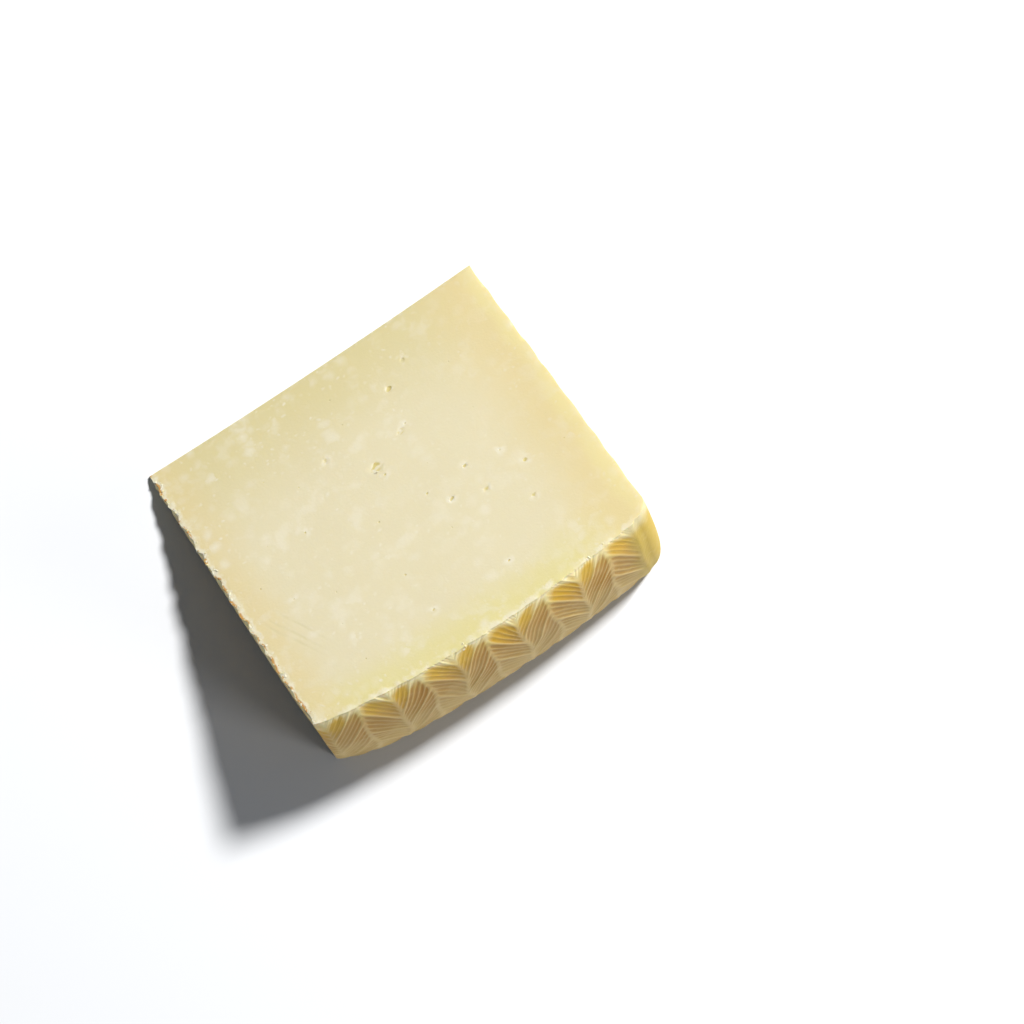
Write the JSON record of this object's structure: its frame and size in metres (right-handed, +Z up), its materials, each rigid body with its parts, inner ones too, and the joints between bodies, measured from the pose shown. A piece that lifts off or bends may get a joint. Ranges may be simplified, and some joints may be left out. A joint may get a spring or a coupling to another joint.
{
  "type": "aged sheep's milk cheese wedge",
  "caption": "Wedge of aged sheep's milk cheese, cut from a drum-shaped wheel and lying on one cut face, with a pale paste, fine eyes and a plaited rind.",
  "frame": {"origin": "centre of the wedge's bounding box, at the level of the cut face it lies on", "axes": "+X along the wheel's axis, -Y towards the plaited rim and +Y towards the thin nose, +Z up"},
  "size_m": [0.1028, 0.0966, 0.0513],
  "materials": {
    "cheese": "pale ivory paste with a soft satin surface, yellower under a tan-brown pressed rind"
  },
  "bodies": {
    "root": {"cheese_wedge": "cheese"}
  },
  "joints": []
}
